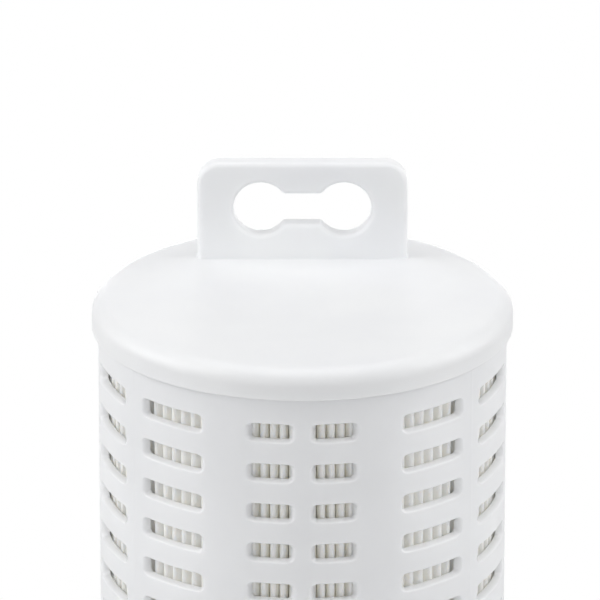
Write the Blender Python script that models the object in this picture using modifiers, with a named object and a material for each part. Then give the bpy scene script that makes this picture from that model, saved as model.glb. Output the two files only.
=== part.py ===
"""A high flow filter cartridge. A pleated pack lies between a windowed outer cage and a perforated core.
A cap with a lifting handle closes the top, and a cap with an outlet spigot ends the bottom. Metres, +Z up.
The origin is the centre of the spigot's end face, the front is -Y, and the handle stands behind the axis."""

from math import asin, atan2, ceil, cos, degrees, floor, pi, radians, sin

import bmesh
import bpy

MM = 0.001

# The whole cartridge. The body is the 20 in length, measured over both end caps.
BODY_LENGTH = 508 * MM
FIT = 0.3 * MM  # the gap that each welded, bonded or seated pair keeps
SIDES = 32  # facets round each turned piece

# The outer cage: two equal mouldings, welded end to end at the middle of the body.
CAGE_DIAMETER = 152 * MM
CAGE_WALL = 3 * MM
WINDOW_HEIGHT = 5.7 * MM
ROW_PITCH = 15.7 * MM
FIRST_ROW_DEPTH = 10.8 * MM  # from the cap's rim to the top of the first row
WELD_BAND = 6.5 * MM  # the least plain wall between the last row and the weld
CENTRE_RIB = 6.8  # degrees round the cage, from here to WIDEST_FACET, front and back
NARROW_WINDOW = 11.1
SHOULDER_RIB = 15.2
MOULD_LINE_RIB = 10.1
SIDE_RIB = 20.4
WIDEST_FACET = 13

# The inner core: two equal mouldings like the cage's. It fits round the seat rings of both caps.
CORE_WALL = 3 * MM
CORE_COLUMNS = 8  # windows round the core, with a rib as wide as a window beside each
CORE_ROWS = 5  # rows of windows in each moulding
CORE_BAND = 12 * MM  # the plain wall above and below each row

# The pleated pack: one folded sheet, its ends joined, that fills the space from core to cage.
PLEATS = 100
PLEAT_CROWDING = 0.205  # the share by which pleats lie closer at the front and back, and looser at the sides
SHEET = 0.9 * MM  # the medium with its two support layers
FOLD_WIDTH = 2.2 * MM  # across one pleat's outer fold

# Both end caps. Each is a flat plate with a skirt over the cage's end and a ring inside the core's end.
CAP_PLATE = 4 * MM
CAP_RIM_HEIGHT = 11.3 * MM
CAP_SKIRT = 2 * MM
CAP_EDGE = 2 * MM  # the rounding of the rim's outer edge
CAP_LIP = 0.8 * MM  # the rounding of the skirt's free edge
SEAT_RING_HEIGHT = 6 * MM
SEAT_RING_WALL = 3 * MM

# The lifting handle, a plate moulded with the closed cap.
HANDLE_WIDTH = 79 * MM
HANDLE_HEIGHT = 38.3 * MM
HANDLE_THICKNESS = 7.4 * MM
HANDLE_OFFSET = 43 * MM  # from the cartridge's axis back to the plate's mid-plane
HANDLE_CORNER = 8.5 * MM
HANDLE_EDGE = 1.2 * MM
GRIP_LOBE_RADIUS = 10.3 * MM
GRIP_LOBE_SPACING = 31.3 * MM
GRIP_SLOT_HEIGHT = 11.8 * MM
GRIP_TOP_BAR = 8.2 * MM  # above the grip's lobes

# The outlet spigot, moulded with the open cap, and its two O-rings.
SPIGOT_LENGTH = 42 * MM
OUTLET_BORE = 66 * MM
SPIGOT_WALL = 9 * MM
SPIGOT_CHAMFER = 2 * MM
RING_SECTION = 5.3 * MM
RING_STANDS_OUT = 1.2 * MM  # how far each O-ring stands out of its groove
GROOVE_PLAY = 0.5 * MM  # between an O-ring and each side of its groove
LOWER_GROOVE = 12 * MM  # from the spigot's end to the middle of the lower groove
GROOVE_SPACING = 13 * MM

# Heights and radii that follow from those sizes.
TOP = SPIGOT_LENGTH + BODY_LENGTH
MIDDLE = SPIGOT_LENGTH + BODY_LENGTH / 2
CAGE_RADIUS = CAGE_DIAMETER / 2
SKIRT_INSIDE = (CAGE_RADIUS + FIT) / cos(pi / SIDES)
CAP_RADIUS = CAGE_RADIUS + FIT + CAP_SKIRT
OUTLET_RADIUS = OUTLET_BORE / 2
SEAT_RING_RADIUS = OUTLET_RADIUS + SEAT_RING_WALL
CORE_RADIUS = (SEAT_RING_RADIUS + FIT) / cos(pi / CORE_COLUMNS / 2) + CORE_WALL
INSIDE_LENGTH = BODY_LENGTH - 2 * CAP_PLATE
SECTION_LENGTH = (INSIDE_LENGTH - 3 * FIT) / 2
PACK_RADIUS = CAGE_RADIUS * cos(radians(WIDEST_FACET) / 2) - CAGE_WALL - FIT
PACK_BORE_RADIUS = CORE_RADIUS + FIT
SPIGOT_RADIUS = OUTLET_RADIUS + SPIGOT_WALL
GROOVE_RADIUS = SPIGOT_RADIUS + RING_STANDS_OUT - RING_SECTION - FIT
GRIP_CENTRE = HANDLE_HEIGHT - GRIP_TOP_BAR - GRIP_LOBE_RADIUS


def new_collection(name):
    made = bpy.data.collections.new(name)
    bpy.context.scene.collection.children.link(made)
    return made


def new_object(name, data, home):
    made = bpy.data.objects.new(name, data)
    home.objects.link(made)
    return made


def evaluated_mesh(obj):
    bpy.context.view_layer.update()
    return bpy.data.meshes.new_from_object(obj.evaluated_get(bpy.context.evaluated_depsgraph_get()))


def finish(obj, colour, roughness):
    """Makes a piece's modifiers part of its mesh, shades its round faces smooth and gives it its material."""
    shaped = evaluated_mesh(obj)
    obj.modifiers.clear()
    obj.data = shaped
    shaped.name = obj.name
    shaped.shade_smooth()
    shaped.set_sharp_from_angle(angle=radians(28))
    give_material(obj, colour, roughness)
    return obj


def give_material(obj, colour, roughness):
    material = bpy.data.materials.new(obj.name)
    material.use_nodes = True
    shader = material.node_tree.nodes["Principled BSDF"]
    shader.inputs["Base Color"].default_value = (*colour, 1)
    shader.inputs["Roughness"].default_value = roughness
    obj.data.materials.clear()
    obj.data.materials.append(material)


def moulded_white(obj):
    return finish(obj, (0.83, 0.84, 0.86), 0.38)


def arc(centre, radius, start, end, steps):
    """Points along an arc, from one angle in degrees to another."""
    angles = [radians(start + (end - start) * i / steps) for i in range(steps + 1)]
    return [(centre[0] + radius * cos(a), centre[1] + radius * sin(a)) for a in angles]


def turned(name, profile, is_ring, home):
    """Turns (radius, height) points about Z. They run down the outer side and back up the inner one."""
    ends = len(profile) if is_ring else len(profile) - 1
    mesh = bpy.data.meshes.new(name)
    edges = [(i, (i + 1) % len(profile)) for i in range(ends)]
    mesh.from_pydata([(radius, 0, height) for radius, height in profile], edges, [])
    made = new_object(name, mesh, home)
    screw = made.modifiers.new("Turn", "SCREW")
    screw.steps = SIDES
    screw.render_steps = SIDES
    screw.use_merge_vertices = True
    screw.merge_threshold = 0.00001
    return made


def flat_plate(name, outlines, thickness, rounding, home):
    """A plate in the XY plane with rounded edges. The first outline is its edge, and any others are holes."""
    curve = bpy.data.curves.new(name, "CURVE")
    curve.dimensions = "2D"
    curve.fill_mode = "BOTH"
    curve.extrude = thickness / 2 - rounding
    curve.bevel_depth = rounding
    curve.bevel_resolution = 1
    curve.offset = -rounding
    for outline in outlines:
        spline = curve.splines.new("POLY")
        spline.points.add(len(outline) - 1)
        for point, (x, y) in zip(spline.points, outline):
            point.co = (x, y, 0, 1)
        spline.use_cyclic_u = True
    drawn = new_object(name, curve, home)
    mesh = evaluated_mesh(drawn)
    bpy.data.objects.remove(drawn)
    welded = bmesh.new()
    welded.from_mesh(mesh)
    bmesh.ops.remove_doubles(welded, verts=welded.verts, dist=0.000001)
    bmesh.ops.recalc_face_normals(welded, faces=welded.faces)
    welded.to_mesh(mesh)
    welded.free()
    return new_object(name, mesh, home)


def windowed_tube(name, radius, wall, columns, rows, home):
    """A tube with windows. Columns are (degrees, facets, open) round it, and rows are (rise, open) up it."""
    tube = bmesh.new()
    angle = -pi / 2 - radians(columns[0][0]) / 2
    corners = []
    open_spans = []
    for width, facets, is_open in columns:
        corners += [angle + radians(width) * i / facets for i in range(facets)]
        if is_open:
            open_spans.append((angle, radians(width)))
        angle += radians(width)
    ring = [tube.verts.new((radius * cos(a), radius * sin(a), 0)) for a in corners]
    rim = [tube.edges.new(pair) for pair in zip(ring, ring[1:] + ring[:1])]
    windows = []
    for rise, row_is_open in rows:
        grown = bmesh.ops.extrude_edge_only(tube, edges=rim)["geom"]
        raised = {part for part in grown if isinstance(part, bmesh.types.BMVert)}
        bmesh.ops.translate(tube, verts=list(raised), vec=(0, 0, rise))
        edges = [part for part in grown if isinstance(part, bmesh.types.BMEdge)]
        rim = [edge for edge in edges if raised.issuperset(edge.verts)]
        for part in grown:
            if row_is_open and isinstance(part, bmesh.types.BMFace) and in_spans(part, open_spans):
                windows.append(part)
    bmesh.ops.delete(tube, geom=windows, context="FACES")
    bmesh.ops.recalc_face_normals(tube, faces=tube.faces)
    mesh = bpy.data.meshes.new(name)
    tube.to_mesh(mesh)
    tube.free()
    made = new_object(name, mesh, home)
    thickness = made.modifiers.new("Wall", "SOLIDIFY")
    thickness.thickness = wall
    thickness.offset = -1
    thickness.use_even_offset = True
    return made


def in_spans(face, spans):
    """Whether a face's middle lies in one of the (start, width) spans of angle."""
    middle = face.calc_center_median()
    angle = atan2(middle.y, middle.x)
    return any((angle - start) % (2 * pi) < width for start, width in spans)


def both_sections(names, tube):
    """Places a moulding above the weld and its copy, turned upside down, below it."""
    tube.name = names[0]
    tube.location.z = MIDDLE + FIT / 2
    lower = new_object(names[1], tube.data.copy(), tube.users_collection[0])
    lower.location.z = MIDDLE - FIT / 2
    lower.rotation_euler.x = pi
    return tube, lower


def cage_columns():
    """The windows round the cage: half a turn, twice. The wide windows take what the rest leaves."""

    def column(width, is_open):
        return (width, ceil(width / WIDEST_FACET), is_open)

    others = NARROW_WINDOW + SHOULDER_RIB + MOULD_LINE_RIB
    wide_window = (180 - CENTRE_RIB - SIDE_RIB - 2 * others) / 4
    quarter = [
        column(NARROW_WINDOW, True),
        column(SHOULDER_RIB, False),
        column(wide_window, True),
        column(MOULD_LINE_RIB, False),
        column(wide_window, True),
    ]
    half = [column(CENTRE_RIB, False), *quarter, column(SIDE_RIB, False), *reversed(quarter)]
    return half + half


def outer_cage(home):
    first_top = SECTION_LENGTH + FIT + CAP_PLATE - CAP_RIM_HEIGHT - FIRST_ROW_DEPTH
    count = floor((first_top - WELD_BAND - WINDOW_HEIGHT) / ROW_PITCH) + 1
    weld_band = first_top - WINDOW_HEIGHT - (count - 1) * ROW_PITCH
    rows = [(weld_band, False)]
    for _ in range(count - 1):
        rows += [(WINDOW_HEIGHT, True), (ROW_PITCH - WINDOW_HEIGHT, False)]
    rows += [(WINDOW_HEIGHT, True), (SECTION_LENGTH - first_top, False)]
    tube = windowed_tube("outer_cage", CAGE_RADIUS, CAGE_WALL, cage_columns(), rows, home)
    return both_sections(("outer_cage_upper", "outer_cage_lower"), moulded_white(tube))


def inner_core(home):
    width = 180 / CORE_COLUMNS
    height = (SECTION_LENGTH - (CORE_ROWS + 1) * CORE_BAND) / CORE_ROWS
    columns = [(width, 1, True), (width, 1, False)] * CORE_COLUMNS
    rows = [(CORE_BAND, False), (height, True)] * CORE_ROWS + [(CORE_BAND, False)]
    tube = windowed_tube("inner_core", CORE_RADIUS, CORE_WALL, columns, rows, home)
    return both_sections(("inner_core_upper", "inner_core_lower"), moulded_white(tube))


def pleat_angle(count):
    turn = 2 * pi * count / PLEATS
    return turn + PLEAT_CROWDING / 2 * sin(2 * turn)


def pleated_pack(home):
    """The folded sheet. Its outer side has flat folds and sharp valleys, and its inner side the reverse."""
    outside = []
    inside = []
    fold = FOLD_WIDTH / 2 / PACK_RADIUS

    def point(radius, angle):
        return (radius * cos(angle), radius * sin(angle))

    for i in range(PLEATS):
        middle = pleat_angle(i)
        valley = pleat_angle(i + 0.5)
        inner_fold = min(SHEET / PACK_BORE_RADIUS, 0.46 * (pleat_angle(i + 1) - middle))
        outside += [point(PACK_RADIUS, middle + side * fold) for side in (-1, 1)]
        outside += [point(PACK_BORE_RADIUS + SHEET, valley)]
        inside += [point(PACK_RADIUS - SHEET, middle)]
        inside += [point(PACK_BORE_RADIUS, valley + side * inner_fold) for side in (-1, 1)]
    made = flat_plate("pleated_pack", [outside, inside], INSIDE_LENGTH - 2 * FIT, 0, home)
    made.location.z = MIDDLE
    return finish(made, (0.78, 0.77, 0.74), 0.8)


def rim_profile(flat, out):
    """A cap's outer side, from its flat face to its skirt's free edge. out is 1 on the closed cap, or -1."""
    lip = min(CAP_LIP, 0.6 * (CAP_RADIUS - SKIRT_INSIDE))
    free_edge = flat - out * (CAP_RIM_HEIGHT - lip)
    points = arc((CAP_RADIUS - CAP_EDGE, flat - out * CAP_EDGE), CAP_EDGE, out * 90, 0, 3)
    return points + arc((CAP_RADIUS - lip, free_edge), lip, 0, -out * 90, 1)


def handle_plate(home):
    """The handle's plate, its foot sunk into the cap that it is moulded with."""
    half = HANDLE_WIDTH / 2
    foot = -0.75 * CAP_PLATE
    corner = HANDLE_HEIGHT - HANDLE_CORNER
    plate = [(-half, foot), (half, foot)]
    plate += arc((half - HANDLE_CORNER, corner), HANDLE_CORNER, 0, 90, 5)
    plate += arc((HANDLE_CORNER - half, corner), HANDLE_CORNER, 90, 180, 5)
    mouth = degrees(asin(GRIP_SLOT_HEIGHT / 2 / GRIP_LOBE_RADIUS))
    lobe = GRIP_LOBE_SPACING / 2
    grip = arc((lobe, GRIP_CENTRE), GRIP_LOBE_RADIUS, mouth - 180, 180 - mouth, 10)
    grip += arc((-lobe, GRIP_CENTRE), GRIP_LOBE_RADIUS, mouth, 360 - mouth, 10)
    made = flat_plate("handle_plate", [plate, grip], HANDLE_THICKNESS, HANDLE_EDGE, home)
    made.rotation_euler.x = pi / 2
    made.location = (0, HANDLE_OFFSET, TOP)
    made.hide_render = True
    made.display_type = "WIRE"
    return made


def closed_end_cap(home, tools):
    inner_face = TOP - CAP_PLATE
    seat_end = inner_face - SEAT_RING_HEIGHT
    profile = [(0, TOP), *rim_profile(TOP, 1)]
    profile += [(SKIRT_INSIDE, TOP - CAP_RIM_HEIGHT), (SKIRT_INSIDE, inner_face)]
    profile += [(SEAT_RING_RADIUS, inner_face), (SEAT_RING_RADIUS, seat_end)]
    profile += [(OUTLET_RADIUS, seat_end), (OUTLET_RADIUS, inner_face), (0, inner_face)]
    cap = turned("closed_end_cap", profile, False, home)
    joined = cap.modifiers.new("Handle", "BOOLEAN")
    joined.operation = "UNION"
    joined.object = handle_plate(tools)
    return moulded_white(cap)


def groove_heights():
    return LOWER_GROOVE, LOWER_GROOVE + GROOVE_SPACING


def open_end_cap(home):
    inner_face = SPIGOT_LENGTH + CAP_PLATE
    seat_end = inner_face + SEAT_RING_HEIGHT
    half_groove = RING_SECTION / 2 + GROOVE_PLAY
    profile = [(OUTLET_RADIUS, seat_end), (SEAT_RING_RADIUS, seat_end), (SEAT_RING_RADIUS, inner_face)]
    profile += [(SKIRT_INSIDE, inner_face), (SKIRT_INSIDE, SPIGOT_LENGTH + CAP_RIM_HEIGHT)]
    profile += [*reversed(rim_profile(SPIGOT_LENGTH, -1)), (SPIGOT_RADIUS, SPIGOT_LENGTH)]
    for middle in reversed(groove_heights()):
        profile += [(SPIGOT_RADIUS, middle + half_groove), (GROOVE_RADIUS, middle + half_groove)]
        profile += [(GROOVE_RADIUS, middle - half_groove), (SPIGOT_RADIUS, middle - half_groove)]
    profile += [(SPIGOT_RADIUS, SPIGOT_CHAMFER), (SPIGOT_RADIUS - SPIGOT_CHAMFER, 0), (OUTLET_RADIUS, 0)]
    return moulded_white(turned("open_end_cap", profile, True, home))


def o_rings(home):
    radius = RING_SECTION / 2
    for name, height in zip(("o_ring_lower", "o_ring_upper"), groove_heights()):
        bpy.ops.mesh.primitive_torus_add(
            major_segments=SIDES,
            minor_segments=6,
            major_radius=GROOVE_RADIUS + FIT + radius,
            minor_radius=radius,
            location=(0, 0, height),
        )
        ring = bpy.context.object
        ring.name = name
        ring.data.name = name
        for other in list(ring.users_collection):
            other.objects.unlink(ring)
        home.objects.link(ring)
        finish(ring, (0.02, 0.02, 0.022), 0.5)


for old in list(bpy.data.objects):
    bpy.data.objects.remove(old, do_unlink=True)
cartridge = new_collection("high flow filter cartridge")
joining_shapes = new_collection("joining shapes")
closed_end_cap(cartridge, joining_shapes)
outer_cage(cartridge)
pleated_pack(cartridge)
inner_core(cartridge)
open_end_cap(cartridge)
o_rings(cartridge)
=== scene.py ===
"""The looks of a high flow filter cartridge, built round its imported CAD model. Metres, +Z up, front at -Y.
The sections follow the cartridge as it is put together, from its core outwards and then its ends."""
import random
from math import asin, ceil, cos, degrees, floor, pi, radians, sin, tan

import bmesh
import bpy
from mathutils import Matrix, Vector


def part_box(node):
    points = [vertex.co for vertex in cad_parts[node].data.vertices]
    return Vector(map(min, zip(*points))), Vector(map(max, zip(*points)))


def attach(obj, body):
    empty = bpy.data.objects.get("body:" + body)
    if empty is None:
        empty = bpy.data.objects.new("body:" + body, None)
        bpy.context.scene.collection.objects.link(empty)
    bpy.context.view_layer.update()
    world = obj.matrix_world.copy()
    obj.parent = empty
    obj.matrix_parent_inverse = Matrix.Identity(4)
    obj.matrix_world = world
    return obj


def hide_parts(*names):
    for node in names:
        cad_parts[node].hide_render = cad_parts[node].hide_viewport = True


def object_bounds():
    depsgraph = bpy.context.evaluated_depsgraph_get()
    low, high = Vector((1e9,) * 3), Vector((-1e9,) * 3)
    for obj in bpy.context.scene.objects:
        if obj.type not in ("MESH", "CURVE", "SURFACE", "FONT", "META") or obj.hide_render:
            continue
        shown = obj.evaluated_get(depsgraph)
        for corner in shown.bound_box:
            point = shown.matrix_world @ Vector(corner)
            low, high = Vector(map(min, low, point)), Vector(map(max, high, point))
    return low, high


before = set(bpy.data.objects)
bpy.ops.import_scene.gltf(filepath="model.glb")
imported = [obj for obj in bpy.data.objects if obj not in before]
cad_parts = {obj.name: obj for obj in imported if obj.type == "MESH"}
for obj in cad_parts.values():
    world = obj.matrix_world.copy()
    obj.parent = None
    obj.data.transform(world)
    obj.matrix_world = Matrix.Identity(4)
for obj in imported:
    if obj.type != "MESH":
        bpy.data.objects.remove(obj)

cad_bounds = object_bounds()

# The inner core: two perforated polypropylene tubes, welded end to end, that the pleats lean on.
# Each is injection moulded, with rows of large windows whose corners and rims are rounded.
# It is white like the cage, a little duller, and shows through the outlet's bore.
MM = 0.001
CORE_WALL = 3 * MM
CORE_COLUMNS = 8
CORE_ROWS = 5
CORE_BAND = 12 * MM
CORE_CORNER = 3 * MM
CORE_EDGE = 0.5 * MM
TUBE_END_EDGE = 0.5 * MM
FLAT_ROUND_WINDOW = 0.5 * MM  # the least plain wall kept round each window's flare
SMOOTH_STEP = radians(2.5)  # the longest stretch of a round wall between two points
SHARP_EDGE = 40  # degrees between two faces, from which their edge stays sharp
SEAM_WIDTH = 0.5 * MM
SEAM_HEIGHT = 0.09 * MM
FLARE_STEPS = 6
EDGE_STEPS = 3
CORNER_STEPS = 4
FLOW_MARKS = 38 * MM
MOULD_RIPPLE = 4.5 * MM
MOULD_GRAIN = 0.35 * MM  # coarser than the real grain of about 0.05 mm, so that it shows


def stepped(start, end, longest):
    """Values from start up to end, with end itself left out, and at most longest apart."""
    count = ceil((end - start) / longest)
    return [start + (end - start) * i / count for i in range(count)]


def bridged(rings):
    """Faces between rings of point numbers, each ring to the next. Where corners coincide, one is kept."""
    faces = []
    for ring, following in zip(rings, rings[1:]):
        for i in range(len(ring)):
            j = (i + 1) % len(ring)
            faces.append(list(dict.fromkeys((ring[i], ring[j], following[j], following[i]))))
    return [face for face in faces if len(face) > 2]


def smooth_object(name, points, faces, sharpest=SHARP_EDGE):
    """An object with round shading. Its flat faces stay flat, and edges over sharpest degrees stay sharp."""
    mesh = bpy.data.meshes.new(name)
    mesh.from_pydata(points, [], faces)
    mesh.shade_smooth()
    mesh.set_sharp_from_angle(angle=radians(sharpest))
    made = bpy.data.objects.new(name, mesh)
    bpy.context.scene.collection.objects.link(made)
    shading = made.modifiers.new("Flat faces", "WEIGHTED_NORMAL")
    shading.keep_sharp = True
    return made


def moulded_tube(name, radius, wall, ends, columns, rows, corner, flare, edge, seams=()):
    """A tube from one height to another, with windows. Columns are their (start, end) in radians round the
    tube, rows their (bottom, top). Corner rounds each window's corners and edge its inner rim. Flare is how
    far its outer rim widens to each side and up and down. A fine ridge stands at each angle in seams, where
    the mould's parts met."""
    points = []
    faces = []

    def point(angle, distance, height):
        points.append((distance * cos(angle), distance * sin(angle), height))
        return len(points) - 1

    # The angles of the points: those of each window, then those of the plain wall up to the next one.
    across, along = (reach + FLAT_ROUND_WINDOW for reach in flare)
    angles = []
    cells = []
    for (start, end), (following, _) in zip(columns, columns[1:] + [(columns[0][0] + 2 * pi, 0)]):
        first = len(angles)
        angles.append(start - across / radius)
        angles += stepped(start + corner / radius, end - corner / radius, SMOOTH_STEP)
        angles.append(end - corner / radius)
        cells.append((first, len(angles)))
        plain = stepped(end + across / radius, following - across / radius, SMOOTH_STEP)
        for seam in seams:
            if plain[0] < seam < plain[-1]:
                plain += [seam - SEAM_WIDTH / 2 / radius, seam, seam + SEAM_WIDTH / 2 / radius]
        angles += sorted(plain)
    # Their heights: four for each row of windows, between those of the tube's ends.
    heights = [ends[0] + TUBE_END_EDGE]
    for bottom, top in rows:
        heights += [bottom - along, bottom + corner, top - corner, top + along]
    heights.append(ends[1] - TUBE_END_EDGE)

    def grid(distance, ridge):
        columns_of_points = []
        for angle in angles:
            reach = distance + ridge * (angle in seams)
            columns_of_points.append([point(angle, reach, height) for height in heights])
        return columns_of_points

    # The outer and inner wall, open where a window is.
    outer = grid(radius, SEAM_HEIGHT)
    inner = grid(radius - wall, 0)
    turns = len(angles)
    for i in range(turns):
        j = (i + 1) % turns
        in_window = any(first <= i < last for first, last in cells)
        for k in range(len(heights) - 1):
            if not (in_window and k % 4):
                faces.append((outer[i][k], outer[j][k], outer[j][k + 1], outer[i][k + 1]))
                faces.append((inner[j][k], inner[i][k], inner[i][k + 1], inner[j][k + 1]))

    # The windows' rims. Each step through the wall has how far it lies to the side, up or down, and inwards.
    rim = []
    for t in (i / FLARE_STEPS for i in range(FLARE_STEPS + 1)):
        rim.append((flare[0] * (1 - t), flare[1] * (1 - t), (wall - edge) * t * t))
    for a in (radians(90 * i / EDGE_STEPS) for i in range(1, EDGE_STEPS + 1)):
        rim.append((edge * (1 - cos(a)), edge * (1 - cos(a)), wall - edge * (1 - sin(a))))
    for first, last in cells:
        left = angles[first + 1]
        right = angles[last - 1]
        for row in range(len(rows)):
            k = 1 + 4 * row
            low = heights[k + 1]
            high = heights[k + 2]

            def quarter(angle, height, start, anchor):
                turns_of_corner = [radians(start + 90 * i / CORNER_STEPS) for i in range(1, CORNER_STEPS)]
                return [(angle, height, turn, anchor) for turn in turns_of_corner]

            down, up, out, back = (radians(turn) for turn in (-90, 90, 0, 180))
            stations = [(angles[i], low, down, (i, k)) for i in range(first + 1, last)]
            stations += quarter(right, low, -90, (last, k))
            stations += [(right, low, out, (last, k + 1)), (right, high, out, (last, k + 2))]
            stations += quarter(right, high, 0, (last, k + 3))
            stations += [(angles[i], high, up, (i, k + 3)) for i in reversed(range(first + 1, last))]
            stations += quarter(left, high, 90, (first, k + 3))
            stations += [(left, high, back, (first, k + 2)), (left, low, back, (first, k + 1))]
            stations += quarter(left, low, 180, (first, k))
            rings = [[outer[i][j] for _, _, _, (i, j) in stations]]
            for sideways, upwards, inwards in rim:
                rings.append([
                    point(angle + (corner + sideways) * cos(turn) / radius, radius - inwards,
                          height + (corner + upwards) * sin(turn))
                    for angle, height, turn, _ in stations
                ])
            rings.append([inner[i][j] for _, _, _, (i, j) in stations])
            faces += bridged(rings)

    # The tube's ends.
    for k, height, order in ((0, ends[0], -1), (-1, ends[1], 1)):
        rings = [[column[k] for column in outer]]
        for distance in (radius - TUBE_END_EDGE, radius - wall + TUBE_END_EDGE):
            rings.append([point(angle, distance, height) for angle in angles])
        rings.append([column[k] for column in inner])
        faces += bridged([ring[::order] for ring in rings])
    return smooth_object(name, points, faces)


def linear(colour):
    """The linear colour of an sRGB hex value."""
    parts = [int(colour[i:i + 2], 16) / 255 for i in (1, 3, 5)]
    return (*[c / 12.92 if c <= 0.04045 else ((c + 0.055) / 1.055) ** 2.4 for c in parts], 1)


def add_node(owner, kind, options, inputs):
    """Adds a shader node with its options. Each input is a plain value, or a socket to link from."""
    node = owner.node_tree.nodes.new("ShaderNode" + kind)
    for option, value in options.items():
        setattr(node, option, value)
    for name, value in inputs.items():
        if isinstance(value, bpy.types.NodeSocket):
            owner.node_tree.links.new(value, node.inputs[name])
        else:
            node.inputs[name].default_value = value
    return node


def new_material(name):
    """A material whose node tree is still empty."""
    material = bpy.data.materials.new(name)
    material.use_nodes = True
    material.node_tree.nodes.clear()
    return material


def moulded_polypropylene(name, colour, flow_colour, roughness):
    """Injection moulded white polypropylene. It is slightly waxy and lets a little light in. Melt that cooled
    unevenly leaves cloudy flow marks tens of millimetres wide. The steel mould leaves a soft ripple and a
    fine grain."""
    material = new_material(name)
    place = add_node(material, "TexCoord", {}, {}).outputs["Object"]
    flow = add_node(material, "TexNoise", {}, {"Vector": place, "Scale": 1 / FLOW_MARKS, "Detail": 3})
    cloud = add_node(material, "MapRange", {}, {
        "Value": flow.outputs["Fac"], "From Min": 0.3, "From Max": 0.7})
    tone = add_node(material, "MixRGB", {}, {
        "Fac": cloud.outputs["Result"], "Color1": linear(colour), "Color2": linear(flow_colour)})
    ripple = add_node(material, "TexNoise", {}, {"Vector": place, "Scale": 1 / MOULD_RIPPLE, "Detail": 2})
    grain = add_node(material, "TexNoise", {}, {"Vector": place, "Scale": 1 / MOULD_GRAIN, "Detail": 2})
    gloss = add_node(material, "MapRange", {}, {
        "Value": ripple.outputs["Fac"], "To Min": roughness - 0.05, "To Max": roughness + 0.05})
    waves = add_node(material, "Bump", {}, {
        "Height": ripple.outputs["Fac"], "Strength": 0.25, "Distance": 0.06 * MM})
    surface = add_node(material, "Bump", {}, {
        "Height": grain.outputs["Fac"], "Strength": 0.2, "Distance": 0.015 * MM,
        "Normal": waves.outputs["Normal"]})
    shader = add_node(material, "BsdfPrincipled", {}, {
        "Base Color": tone.outputs["Color"], "Roughness": gloss.outputs["Result"], "IOR": 1.49,
        "Subsurface Weight": 0.6, "Subsurface Radius": (1.0, 0.99, 0.98), "Subsurface Scale": 4 * MM,
        "Normal": surface.outputs["Normal"]})
    add_node(material, "OutputMaterial", {}, {"Surface": shader.outputs["BSDF"]})
    return material


def fit(piece, material, slot, *nodes):
    """Gives a finished piece its material and its place on the cartridge, instead of its CAD solid."""
    piece.data.materials.clear()
    piece.data.materials.append(material)
    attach(piece, "root")
    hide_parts(*nodes)


core_white = moulded_polypropylene("moulded polypropylene of the core", "#E6E8EA", "#E1E3E5", 0.46)
core_step = 2 * pi / CORE_COLUMNS
core_middles = [-pi / 2 + core_step * i for i in range(CORE_COLUMNS)]
core_columns = [(middle - core_step / 4, middle + core_step / 4) for middle in core_middles]
for half in ("upper", "lower"):
    low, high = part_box("inner_core_" + half)
    core_radius = high.x / cos(core_step / 4)
    window_height = (high.z - low.z - (CORE_ROWS + 1) * CORE_BAND) / CORE_ROWS
    bottoms = [low.z + CORE_BAND + i * (CORE_BAND + window_height) for i in range(CORE_ROWS)]
    core_rows = [(bottom, bottom + window_height) for bottom in bottoms]
    core_tube = moulded_tube("core_tube_" + half, core_radius, CORE_WALL, (low.z, high.z),
                             core_columns, core_rows, CORE_CORNER, (CORE_EDGE, CORE_EDGE), CORE_EDGE)
    fit(core_tube, core_white, "core", "inner_core_" + half)

# The pleated pack: one long sheet of spunbond and meltblown polypropylene, about 0.9 mm with its supports,
# folded into 100 pleats and joined into a ring. Its folds lie closer at the front and back than at the sides.
# The ring is wider outside than at the core, so the pleats belly out behind their folds and nearly touch.
PLEATS = 100
PLEAT_CROWDING = 0.205
SHEET = 0.9 * MM
FOLD_WIDTH = 2.2 * MM
BELLY_DEPTH = 2.9 * MM
BELLY_GAP = 0.3 * MM
FLANK_SHARES = (0.4, 0.65, 0.85, 1)  # of the way in from a fold to the belly
INNER_BEND = 0.52 * SHEET  # the inner folds are pressed nearly shut
CORE_PLAY = 0.3 * MM  # the gap that the solids keep between the pleats and the core
OUTER_FOLD_STEPS = 6
INNER_FOLD_STEPS = 4
PLEAT_LEVELS = 21
LEAN = 0.16 * MM
LEAN_WAVES = 5
LEAN_SEED = 7
NEARER = 0.2 * MM  # the real folds press on the cage, where the solids keep 0.3 mm clear
FIBRES = 0.4 * MM  # drawn as tufts, because single fibres of about 0.02 mm don't show
BOND_SPACING = 1.1 * MM
UNEVEN_PATCHES = 9 * MM
pack_low, pack_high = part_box("pleated_pack")
core_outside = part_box("inner_core_upper")[1].x / cos(core_step / 4)


def pleat_angle(count):
    """The angle of an outer fold. The inner fold that follows it has half a count more."""
    turn = 2 * pi * count / PLEATS
    return turn + PLEAT_CROWDING / 2 * sin(2 * turn)


def flank(angle, distance, belly_angle, belly_distance):
    """Places on the way in from a fold to the pleat's belly. Their S-shaped line leaves a rounded gap."""
    places = []
    for share in FLANK_SHARES:
        eased = share ** 3 * (share * (6 * share - 15) + 10)
        bent = angle + (belly_angle - angle) * eased
        places.append((bent, distance + (belly_distance - distance) * share, 0, -1))
    return places


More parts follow.
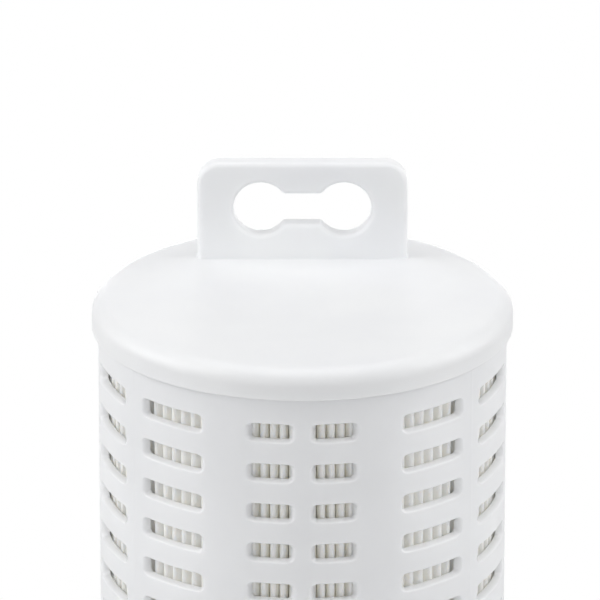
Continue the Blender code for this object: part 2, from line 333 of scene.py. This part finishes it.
def folded_sheet():
    """The pack as a closed sheet: the two sides of its middle line, carried up through its levels."""
    # The middle line seen from above: an outer fold, in to an inner one, and out again.
    drift = random.Random(LEAN_SEED)
    outer_bend = (FOLD_WIDTH - SHEET) / 2
    crest = pack_high.x + NEARER - SHEET / 2 - outer_bend
    foot = core_outside + CORE_PLAY + SHEET / 2 + INNER_BEND
    belly = (crest - BELLY_DEPTH, (BELLY_GAP + SHEET) / 2)
    line = []
    for i in range(PLEATS):
        fold = pleat_angle(i)
        valley = pleat_angle(i + 0.5)
        next_fold = pleat_angle(i + 1)
        for turn in (radians(180 * step / OUTER_FOLD_STEPS - 90) for step in range(OUTER_FOLD_STEPS + 1)):
            line.append((fold, crest + outer_bend * cos(turn), outer_bend * sin(turn), i))
        line += flank(fold + outer_bend / crest, crest, valley - belly[1] / belly[0], belly[0])
        for turn in (radians(180 * step / INNER_FOLD_STEPS - 90) for step in range(INNER_FOLD_STEPS + 1)):
            line.append((valley, foot - INNER_BEND * cos(turn), INNER_BEND * sin(turn), -1))
        line += flank(next_fold - outer_bend / crest, crest, valley + belly[1] / belly[0], belly[0])[::-1]
    # The levels, up which each outer fold leans to and fro in its own way.
    sways = [[drift.uniform(-1, 1) for _ in range(LEAN_WAVES)] for _ in range(PLEATS)]
    points = []
    rings = []
    levels = [pack_low.z + (pack_high.z - pack_low.z) * i / PLEAT_LEVELS for i in range(PLEAT_LEVELS + 1)]
    for share, height in ((i / PLEAT_LEVELS, level) for i, level in enumerate(levels)):
        middle_line = []
        for angle, distance, across, pleat in line:
            sway = 0
            if pleat >= 0:
                sway = LEAN * sum(a * sin(pi * (n + 1) * share) for n, a in enumerate(sways[pleat])) / 2
            radial = Vector((cos(angle), sin(angle)))
            side = Vector((-sin(angle), cos(angle)))
            middle_line.append(radial * distance + side * (across + sway))
        sides = ([], [])
        for i, here in enumerate(middle_line):
            course = (middle_line[(i + 1) % len(middle_line)] - middle_line[i - 1]).normalized()
            offset = Vector((course.y, -course.x)) * SHEET / 2
            for ring, place in zip(sides, (here + offset, here - offset)):
                points.append((place.x, place.y, height))
                ring.append(len(points) - 1)
        rings.append(sides)
    outsides = [ring[0] for ring in rings]
    insides = [ring[1] for ring in rings]
    faces = bridged(outsides) + bridged(insides[::-1])
    faces += bridged([outsides[-1], insides[-1]]) + bridged([insides[0], outsides[0]])
    return smooth_object("pleated_sheet", points, faces, 60)


def spunbond_polypropylene(name, colour, shade_colour):
    """Spunbond polypropylene, the support layer that shows. Loose fibres make it matt and slightly warm, and
    the hot calender roll presses rows of small bond points into it, about 1.1 mm apart."""
    material = new_material(name)
    place = add_node(material, "TexCoord", {}, {}).outputs["Object"]
    fibres = add_node(material, "TexNoise", {}, {"Vector": place, "Scale": 1 / FIBRES, "Detail": 4})
    bonds = add_node(material, "TexVoronoi", {"feature": "F1"}, {"Vector": place, "Scale": 1 / BOND_SPACING})
    thickness = add_node(material, "TexNoise", {}, {
        "Vector": place, "Scale": 1 / UNEVEN_PATCHES, "Detail": 3})
    blend = add_node(material, "MapRange", {}, {
        "Value": thickness.outputs["Fac"], "From Min": 0.3, "From Max": 0.7})
    tone = add_node(material, "MixRGB", {}, {
        "Fac": blend.outputs["Result"], "Color1": linear(colour), "Color2": linear(shade_colour)})
    dents = add_node(material, "Bump", {}, {
        "Height": bonds.outputs["Distance"], "Strength": 0.3, "Distance": 0.08 * MM})
    surface = add_node(material, "Bump", {}, {
        "Height": fibres.outputs["Fac"], "Strength": 0.5, "Distance": 0.1 * MM,
        "Normal": dents.outputs["Normal"]})
    shader = add_node(material, "BsdfPrincipled", {}, {
        "Base Color": tone.outputs["Color"], "Roughness": 0.88, "IOR": 1.49,
        "Subsurface Weight": 1.0, "Subsurface Radius": (1.0, 0.95, 0.88), "Subsurface Scale": 0.8 * MM,
        "Sheen Weight": 0.15, "Sheen Roughness": 0.5, "Normal": surface.outputs["Normal"]})
    add_node(material, "OutputMaterial", {}, {"Surface": shader.outputs["BSDF"]})
    return material


medium_white = spunbond_polypropylene("spunbond polypropylene of the pleats", "#FCFBF7", "#F9F8F3")
fit(folded_sheet(), medium_white, "pleats", "pleated_pack")

# The outer cage: two moulded polypropylene tubes with rows of rounded windows, welded end to end.
# It keeps the pleats in shape against the flow. Front and back have narrow windows beside a thin rib, and
# wide ones stand on both sides of the ribs where the mould's slides met.
CAGE_WALL = 3 * MM
WINDOW_HEIGHT = 5.7 * MM
ROW_PITCH = 15.7 * MM
FIRST_ROW_DEPTH = 10.8 * MM
WELD_BAND = 6.5 * MM
WINDOW_CORNER = 1.3 * MM
WINDOW_FLARE = (2 * MM, 1.1 * MM)
WINDOW_EDGE = 0.3 * MM
CENTRE_RIB = 6.8  # degrees round the cage, from here to SIDE_RIB
NARROW_WINDOW = 11.1
SHOULDER_RIB = 15.2
WIDE_WINDOW = 20
MOULD_LINE_RIB = 10.1
SIDE_RIB = 20.4


def cage_windows():
    """The (start, end) of each window round the cage, from the front."""
    half = [CENTRE_RIB, NARROW_WINDOW, SHOULDER_RIB, WIDE_WINDOW, MOULD_LINE_RIB, WIDE_WINDOW, SIDE_RIB]
    half += half[-2:0:-1]
    angle = -90 - CENTRE_RIB / 2
    windows = []
    for i, width in enumerate(half + half):
        if i % 2:  # every second width is a window's, and those between are ribs
            windows.append((radians(angle), radians(angle + width)))
        angle += width
    return windows


def mould_lines(windows):
    """The angles of the four ribs between two wide windows, where the mould's slides met."""
    return [(windows[i][1] + windows[i + 1][0]) / 2 for i in (1, 3, 7, 9)]


cage_white = moulded_polypropylene("moulded polypropylene of the cage", "#ECEDEF", "#E8E9EB", 0.42)
upper_low, upper_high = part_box("outer_cage_upper")
lower_low, lower_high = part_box("outer_cage_lower")
weld = (upper_low.z + lower_high.z) / 2
first_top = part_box("closed_end_cap")[0].z - FIRST_ROW_DEPTH
row_count = floor((first_top - upper_low.z - WELD_BAND - WINDOW_HEIGHT) / ROW_PITCH) + 1
tops = [first_top - i * ROW_PITCH for i in reversed(range(row_count))]
upper_rows = [(top - WINDOW_HEIGHT, top) for top in tops]
lower_rows = [(2 * weld - top, 2 * weld - bottom) for bottom, top in reversed(upper_rows)]
for half, low, high, rows in (
    ("upper", upper_low, upper_high, upper_rows),
    ("lower", lower_low, lower_high, lower_rows),
):
    cage_tube = moulded_tube("cage_tube_" + half, high.x, CAGE_WALL, (low.z, high.z),
                             cage_windows(), rows, WINDOW_CORNER, WINDOW_FLARE, WINDOW_EDGE,
                             mould_lines(cage_windows()))
    fit(cage_tube, cage_white, "cage", "outer_cage_" + half)

# The open end cap: one polypropylene moulding, welded to the cage, the pleats and the core.
# Its skirt grips the cage's end, a ring inside centres the core, and the spigot has two grooves for O-rings.
# Every outer edge is rounded as the mould leaves it.
CAP_PLATE = 4 * MM
CAP_RIM_HEIGHT = 11.3 * MM
CAP_EDGE = 2 * MM
CAP_LIP = 0.7 * MM
SKIRT_EDGE = 0.3 * MM
SEAT_RING_WALL = 3 * MM
OUTLET_RADIUS = 33 * MM
SPIGOT_RADIUS = 42 * MM
SPIGOT_LENGTH = 42 * MM
SPIGOT_TAPER = 2 * MM
TAPER_EDGE = 1.2 * MM
OUTLET_EDGE = 1 * MM
INNER_CORNER = 0.8 * MM
SMALL_EDGE = 0.6 * MM
RING_SECTION = 5.3 * MM
RING_STANDS_OUT = 1.2 * MM
GROOVE_PLAY = 0.5 * MM
GROOVE_EDGE = 0.4 * MM
SEAT = 0.3 * MM  # the gap that the solids keep for each weld and under each O-ring
GROOVE_HEIGHTS = (12 * MM, 25 * MM)
TURNED_FACETS = 192


def rounded(corners, segments=6):
    """The line through (distance, height, rounding) corners, with an arc at each that has a rounding."""
    places = []
    for before, (x, y, rounding), after in zip(corners[-1:] + corners, corners, corners[1:] + corners[:1]):
        here = Vector((x, y))
        if not rounding:
            places.append(here)
            continue
        back = (Vector(before[:2]) - here).normalized()
        ahead = (Vector(after[:2]) - here).normalized()
        half = back.angle(ahead) / 2
        centre = here + (back + ahead).normalized() * rounding / sin(half)
        start = here + back * rounding / tan(half) - centre
        end = here + ahead * rounding / tan(half) - centre
        sweep = start.angle_signed(end)
        for i in range(segments + 1):
            spoke = start.copy()
            spoke.rotate(Matrix.Rotation(-sweep * i / segments, 2))
            places.append(centre + spoke)
    return places


def turned(name, line, closed):
    """A line of (distance, height) places, turned about the axis. It runs up the outer side."""
    points = []
    rings = []
    for distance, height in line:
        first = len(points)
        count = TURNED_FACETS if distance > 0 else 1
        for i in range(count):
            angle = 2 * pi * i / TURNED_FACETS
            points.append((distance * cos(angle), distance * sin(angle), height))
        rings.append([first + i % count for i in range(TURNED_FACETS)])
    faces = bridged(rings + rings[:1] if closed else rings)
    if not closed:
        faces.append(rings[-1])
    return smooth_object(name, points, faces)


def cap_rim(flat, out, rounding):
    """A cap's outer side, from its skirt's inner edge to its rounded rim. out is 1 if the cap opens down."""
    free = flat - out * CAP_RIM_HEIGHT
    return [(skirt_inside, free, SKIRT_EDGE), (cap_radius, free, CAP_LIP), (cap_radius, flat, rounding)]


cap_white = moulded_polypropylene("moulded polypropylene of the end caps", "#EFF0F1", "#EBECEE", 0.42)
cap_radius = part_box("open_end_cap")[1].x
skirt_inside = upper_high.x + SEAT
seat_radius = OUTLET_RADIUS + SEAT_RING_WALL
groove_radius = SPIGOT_RADIUS + RING_STANDS_OUT - RING_SECTION - SEAT
inner_face = SPIGOT_LENGTH + CAP_PLATE
seat_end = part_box("open_end_cap")[1].z
outlet_line = [
    (OUTLET_RADIUS, 0, OUTLET_EDGE), (SPIGOT_RADIUS - SPIGOT_TAPER, 0, SMALL_EDGE),
    (SPIGOT_RADIUS, SPIGOT_TAPER, TAPER_EDGE)]
for middle in GROOVE_HEIGHTS:
    half_groove = RING_SECTION / 2 + GROOVE_PLAY
    for height, order in ((middle - half_groove, 1), (middle + half_groove, -1)):
        outlet_line += [(SPIGOT_RADIUS, height, GROOVE_EDGE), (groove_radius, height, SMALL_EDGE)][::order]
outlet_line += [(SPIGOT_RADIUS, SPIGOT_LENGTH, INNER_CORNER), *reversed(cap_rim(SPIGOT_LENGTH, -1, CAP_EDGE))]
outlet_line += [(skirt_inside, inner_face, 0), (seat_radius, inner_face, 0)]
outlet_line += [(seat_radius, seat_end, SMALL_EDGE), (OUTLET_RADIUS, seat_end, SMALL_EDGE)]
fit(turned("outlet_cap", rounded(outlet_line), True), cap_white, "end_caps", "open_end_cap")

# The O-rings: two moulded rings of black EPDM rubber, 5.3 mm thick, pushed into the spigot's grooves.
# They stand a little out of the grooves and are squeezed when the spigot enters its socket.
# A fine flash line runs round each where the mould's halves met.
RING_FACETS = 32
FLASH = 0.08 * MM
BLOOM_CLOUDS = 12 * MM
RUBBER_SKIN = 0.5 * MM  # coarser than the real skin of the rubber, so that it shows


def vulcanised_rubber(name, colour, bloom_colour):
    """Moulded black EPDM rubber. It is satin, and a faint grey bloom of wax and talc clouds it in places."""
    material = new_material(name)
    place = add_node(material, "TexCoord", {}, {}).outputs["Object"]
    bloom = add_node(material, "TexNoise", {}, {"Vector": place, "Scale": 1 / BLOOM_CLOUDS, "Detail": 4})
    cloud = add_node(material, "MapRange", {}, {
        "Value": bloom.outputs["Fac"], "From Min": 0.35, "From Max": 0.75})
    tone = add_node(material, "MixRGB", {}, {
        "Fac": cloud.outputs["Result"], "Color1": linear(colour), "Color2": linear(bloom_colour)})
    gloss = add_node(material, "MapRange", {}, {
        "Value": bloom.outputs["Fac"], "To Min": 0.42, "To Max": 0.62})
    skin = add_node(material, "TexNoise", {}, {"Vector": place, "Scale": 1 / RUBBER_SKIN, "Detail": 3})
    surface = add_node(material, "Bump", {}, {
        "Height": skin.outputs["Fac"], "Strength": 0.25, "Distance": 0.03 * MM})
    shader = add_node(material, "BsdfPrincipled", {}, {
        "Base Color": tone.outputs["Color"], "Roughness": gloss.outputs["Result"], "IOR": 1.52,
        "Normal": surface.outputs["Normal"]})
    add_node(material, "OutputMaterial", {}, {"Surface": shader.outputs["BSDF"]})
    return material


black_rubber = vulcanised_rubber("EPDM rubber of the O-rings", "#1B1B1D", "#2A2A2C")
ring_radius = RING_SECTION / 2
ring_middle = groove_radius + SEAT + ring_radius
for half, middle in zip(("lower", "upper"), GROOVE_HEIGHTS):
    section = []
    for i in range(RING_FACETS):
        angle = 2 * pi * i / RING_FACETS
        bulge = FLASH if i == 0 else 0
        section.append((ring_middle + (ring_radius + bulge) * cos(angle), middle + ring_radius * sin(angle)))
    fit(turned("rubber_ring_" + half, section, True), black_rubber, "o_rings", "o_ring_" + half)

# The closed end cap: one polypropylene moulding like the open one, with a softer shoulder round its flat top.
# The lifting handle is part of it, a thick plate behind the centre with rounded edges and a dog-bone opening
# for two fingers. A small fillet joins it to the cap.
CAP_SHOULDER = 6 * MM
SHOULDER_STEPS = 12
CORE_SEAT_DEPTH = 6 * MM
HANDLE_WIDTH = 79 * MM
HANDLE_THICKNESS = 7.4 * MM
HANDLE_OFFSET = 43 * MM
HANDLE_CORNER = 8.5 * MM
HANDLE_EDGE = 1.8 * MM
HANDLE_FILLET = 0.7 * MM
GRIP_LOBE_RADIUS = 10.3 * MM
GRIP_LOBE_SPACING = 31.3 * MM
GRIP_SLOT_HEIGHT = 11.8 * MM
GRIP_TOP_BAR = 8.2 * MM
GRIP_MOUTH = 2.4 * MM
HANDLE_CORNER_STEPS = 12
LOBE_STEPS = 40
MOUTH_STEPS = 6


def arc(centre, radius, start, end, steps):
    """Places along an arc, from one angle in degrees to another."""
    angles = [radians(start + (end - start) * i / steps) for i in range(steps + 1)]
    return [(centre[0] + radius * cos(a), centre[1] + radius * sin(a)) for a in angles]


def evaluated_mesh(piece):
    """A copy of a piece's mesh or curve with its modifiers and bevels worked in."""
    bpy.context.view_layer.update()
    return bpy.data.meshes.new_from_object(piece.evaluated_get(bpy.context.evaluated_depsgraph_get()))


def flat_plate(outlines, thickness, rounding):
    """A plate in the XY plane with rounded edges. The first outline is its edge, and any others are holes."""
    curve = bpy.data.curves.new("handle_outline", "CURVE")
    curve.dimensions = "2D"
    curve.fill_mode = "BOTH"
    curve.extrude = thickness / 2 - rounding
    curve.bevel_depth = rounding
    curve.bevel_resolution = 5
    curve.offset = -rounding
    for outline in outlines:
        spline = curve.splines.new("POLY")
        spline.points.add(len(outline) - 1)
        for place, (x, y) in zip(spline.points, outline):
            place.co = (x, y, 0, 1)
        spline.use_cyclic_u = True
    drawn = bpy.data.objects.new("handle_outline", curve)
    bpy.context.scene.collection.objects.link(drawn)
    mesh = evaluated_mesh(drawn)
    bpy.data.objects.remove(drawn)
    plate = bmesh.new()
    plate.from_mesh(mesh)
    bmesh.ops.remove_doubles(plate, verts=plate.verts, dist=0.001 * MM)
    bmesh.ops.recalc_face_normals(plate, faces=plate.faces)
    plate.to_mesh(mesh)
    plate.free()
    made = bpy.data.objects.new("handle_plate", mesh)
    bpy.context.scene.collection.objects.link(made)
    return made


def handle_plate(flat, top):
    """The handle's plate, its foot sunk into the cap that it is moulded with."""
    half = HANDLE_WIDTH / 2
    foot = -0.5 * CAP_PLATE
    corner = top - flat - HANDLE_CORNER
    edge = [(-half, foot), (half, foot)]
    edge += arc((half - HANDLE_CORNER, corner), HANDLE_CORNER, 0, 90, HANDLE_CORNER_STEPS)
    edge += arc((HANDLE_CORNER - half, corner), HANDLE_CORNER, 90, 180, HANDLE_CORNER_STEPS)
    grip_centre = top - flat - GRIP_TOP_BAR - GRIP_LOBE_RADIUS
    lobe = GRIP_LOBE_SPACING / 2
    reach = GRIP_SLOT_HEIGHT / 2 + GRIP_MOUTH
    mouth = degrees(asin(reach / (GRIP_LOBE_RADIUS + GRIP_MOUTH)))
    bend = lobe - reach / tan(radians(mouth))
    upper = grip_centre + reach
    lower = grip_centre - reach
    grip = arc((lobe, grip_centre), GRIP_LOBE_RADIUS, mouth - 180, 180 - mouth, LOBE_STEPS)
    grip += arc((bend, upper), GRIP_MOUTH, -mouth, -90, MOUTH_STEPS)
    grip += arc((-bend, upper), GRIP_MOUTH, -90, mouth - 180, MOUTH_STEPS)
    grip += arc((-lobe, grip_centre), GRIP_LOBE_RADIUS, mouth, 360 - mouth, LOBE_STEPS)
    grip += arc((-bend, lower), GRIP_MOUTH, 180 - mouth, 90, MOUTH_STEPS)
    grip += arc((bend, lower), GRIP_MOUTH, 90, mouth, MOUTH_STEPS)
    made = flat_plate([edge, grip], HANDLE_THICKNESS, HANDLE_EDGE)
    made.rotation_euler.x = pi / 2
    made.location = (0, HANDLE_OFFSET, flat)
    return made


def join_handle(cap, plate, flat):
    """Makes the cap and the plate one moulding, and rounds the corner between them."""
    joined = cap.modifiers.new("Handle", "BOOLEAN")
    joined.operation = "UNION"
    joined.object = plate
    cap.modifiers.remove(cap.modifiers["Flat faces"])
    mesh = evaluated_mesh(cap)
    cap.modifiers.clear()
    bpy.data.objects.remove(plate)
    # The corner between them: the steep edges that lie in the cap's flat top.
    body = bmesh.new()
    body.from_mesh(mesh)
    foot = [
        edge for edge in body.edges
        if all(abs(end.co.z - flat) < 0.01 * MM for end in edge.verts)
        and len(edge.link_faces) == 2 and edge.calc_face_angle() > radians(60)
    ]
    bmesh.ops.bevel(body, geom=foot, offset=HANDLE_FILLET, segments=5, profile=0.5, affect="EDGES")
    body.to_mesh(mesh)
    body.free()
    mesh.shade_smooth()
    mesh.set_sharp_from_angle(angle=radians(SHARP_EDGE))
    cap.data = mesh
    cap.modifiers.new("Flat faces", "WEIGHTED_NORMAL").keep_sharp = True


cap_top = cad_bounds[1].z
cap_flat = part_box("closed_end_cap")[0].z + CAP_RIM_HEIGHT
closed_face = cap_flat - CAP_PLATE
core_seat_end = closed_face - CORE_SEAT_DEPTH
closed_line = [
    (0, closed_face, 0), (OUTLET_RADIUS, closed_face, 0), (OUTLET_RADIUS, core_seat_end, SMALL_EDGE),
    (seat_radius, core_seat_end, SMALL_EDGE), (seat_radius, closed_face, 0), (skirt_inside, closed_face, 0),
    *cap_rim(cap_flat, 1, CAP_SHOULDER), (cap_radius - 1.5 * CAP_SHOULDER, cap_flat, 0)]
handle_cap = turned("handle_cap", rounded(closed_line, SHOULDER_STEPS), False)
join_handle(handle_cap, handle_plate(cap_flat, cap_top), cap_flat)
fit(handle_cap, cap_white, "end_caps", "closed_end_cap")

# The studio: a pale floor that keeps the cartridge's shadow and runs out into white, and a pale room that
# is darker behind. Large soft boxes stand on both sides, weaker ones in front and behind, and one hangs
# above, so the front reads as round.
FLOOR_RADIUS = 9
FLOOR_SIDES = 96
FLOOR_DEPTH = 0.1 * MM  # below the spigot's end, so that the two faces don't lie in one plane
SHADOW_RADIUS = 0.4  # the floor shows the shadow up to here, and fades to plain white over the next stretch
SHADOW_FADE = 0.5
ROOM_LEVEL = 0.1
FRONT_LEVEL = 0.4
FRONT_END = -0.6  # the Y of a direction, up to which the room keeps its front level
LIGHT_BOUNCES = 24  # white pleats pass light on many times before it dies away between them
SOFT_BOXES = {  # degrees round from the front, degrees up, metres away, metres wide and high, watts
    "left_box": (-86, 34, 1.7, 1.2, 1.0, 14.2),
    "right_box": (90, 34, 1.7, 1.2, 1.0, 12.7),
    "front_box": (0, 25, 1.7, 1.4, 1.0, 5.4),
    "top_box": (0, 88, 1.7, 1.2, 1.2, 7.3),
    "back_box": (180, 2, 1.7, 0.9, 0.9, 8),
}


def background_rays(owner):
    """1 for the rays that show the background: straight to the camera, mirrored or let through."""
    path = add_node(owner, "LightPath", {}, {}).outputs
    mirrored = add_node(owner, "Math", {"operation": "MAXIMUM"}, {
        0: path["Is Glossy Ray"], 1: path["Is Transmission Ray"]})
    seen = add_node(owner, "Math", {"operation": "MAXIMUM"}, {
        0: path["Is Camera Ray"], 1: mirrored.outputs[0]})
    return seen.outputs[0]


def studio_paper():
    """Matt white background paper. Past the shadow it is plain white to the camera, and clear from below."""
    material = new_material("studio paper")
    place = add_node(material, "TexCoord", {}, {}).outputs["Object"]
    reach = add_node(material, "VectorMath", {"operation": "LENGTH"}, {0: place}).outputs["Value"]
    beyond = add_node(material, "MapRange", {"interpolation_type": "SMOOTHSTEP"}, {
        "Value": reach, "From Min": SHADOW_RADIUS, "From Max": SHADOW_RADIUS + SHADOW_FADE})
    white = add_node(material, "Math", {"operation": "MULTIPLY"}, {
        0: beyond.outputs["Result"], 1: background_rays(material)})
    paper = add_node(material, "BsdfDiffuse", {}, {"Color": linear("#F4F4F4")})
    glow = add_node(material, "Emission", {}, {"Strength": 1})
    lit = add_node(material, "MixShader", {}, {
        0: white.outputs[0], 1: paper.outputs["BSDF"], 2: glow.outputs["Emission"]})
    clear = add_node(material, "BsdfTransparent", {}, {})
    under = add_node(material, "NewGeometry", {}, {}).outputs["Backfacing"]
    surface = add_node(material, "MixShader", {}, {0: under, 1: lit.outputs[0], 2: clear.outputs["BSDF"]})
    add_node(material, "OutputMaterial", {}, {"Surface": surface.outputs[0]})
    return material


floor_angles = [2 * pi * i / FLOOR_SIDES for i in range(FLOOR_SIDES)]
floor_edge = [(FLOOR_RADIUS * cos(a), FLOOR_RADIUS * sin(a), -FLOOR_DEPTH) for a in floor_angles]
floor_mesh = bpy.data.meshes.new("studio_floor")
floor_mesh.from_pydata(floor_edge, [], [list(range(FLOOR_SIDES))])
floor_mesh.materials.append(studio_paper())
studio_floor = bpy.data.objects.new("studio_floor", floor_mesh)
bpy.context.scene.collection.objects.link(studio_floor)

world = bpy.data.worlds.new("studio")
world.use_nodes = True
world.node_tree.nodes.clear()
direction = add_node(world, "TexCoord", {}, {}).outputs["Generated"]
depth = add_node(world, "SeparateXYZ", {}, {"Vector": direction}).outputs["Y"]
level = add_node(world, "MapRange", {"interpolation_type": "SMOOTHSTEP"}, {
    "Value": depth, "From Min": FRONT_END, "From Max": 0, "To Min": FRONT_LEVEL, "To Max": ROOM_LEVEL})
room = add_node(world, "Background", {}, {"Color": linear("#FFFFFF"), "Strength": level.outputs["Result"]})
backdrop = add_node(world, "Background", {}, {"Color": linear("#FFFFFF"), "Strength": 1})
sky = add_node(world, "MixShader", {}, {
    0: background_rays(world), 1: room.outputs[0], 2: backdrop.outputs[0]})
add_node(world, "OutputWorld", {}, {"Surface": sky.outputs[0]})
bpy.context.scene.world = world
bpy.context.scene.cycles.max_bounces = LIGHT_BOUNCES
bpy.context.scene.cycles.diffuse_bounces = LIGHT_BOUNCES

middle_of_cartridge = Vector((0, 0, cap_flat / 2))
for name, (around, up, distance, width, height, watts) in SOFT_BOXES.items():
    lamp = bpy.data.lights.new(name, "AREA")
    lamp.shape = "RECTANGLE"
    lamp.size = width
    lamp.size_y = height
    lamp.energy = watts
    box = bpy.data.objects.new(name, lamp)
    away = Vector((
        sin(radians(around)) * cos(radians(up)), -cos(radians(around)) * cos(radians(up)), sin(radians(up))))
    box.location = middle_of_cartridge + away * distance
    box.rotation_euler = (-away).to_track_quat("-Z", "Y").to_euler()
    bpy.context.scene.collection.objects.link(box)

# The camera: it looks down on the cap from the front, as in the photo. It stands far enough away that the
# cartridge's walls stay nearly upright.
LENS = 442
CAMERA_DISTANCE = 2.736
CAMERA_ELEVATION = radians(20.78)
AIM = Vector((-0.9 * MM, 0, cap_flat - 1.6 * MM))
photo_lens = bpy.data.cameras.new("studio_camera")
photo_lens.lens = LENS
photo_lens.clip_end = 50
camera = bpy.data.objects.new("studio_camera", photo_lens)
camera.location = AIM + CAMERA_DISTANCE * Vector((0, -cos(CAMERA_ELEVATION), sin(CAMERA_ELEVATION)))
camera.rotation_euler.x = pi / 2 - CAMERA_ELEVATION
bpy.context.scene.collection.objects.link(camera)
bpy.context.scene.camera = camera
bpy.context.scene.view_settings.view_transform = "Standard"
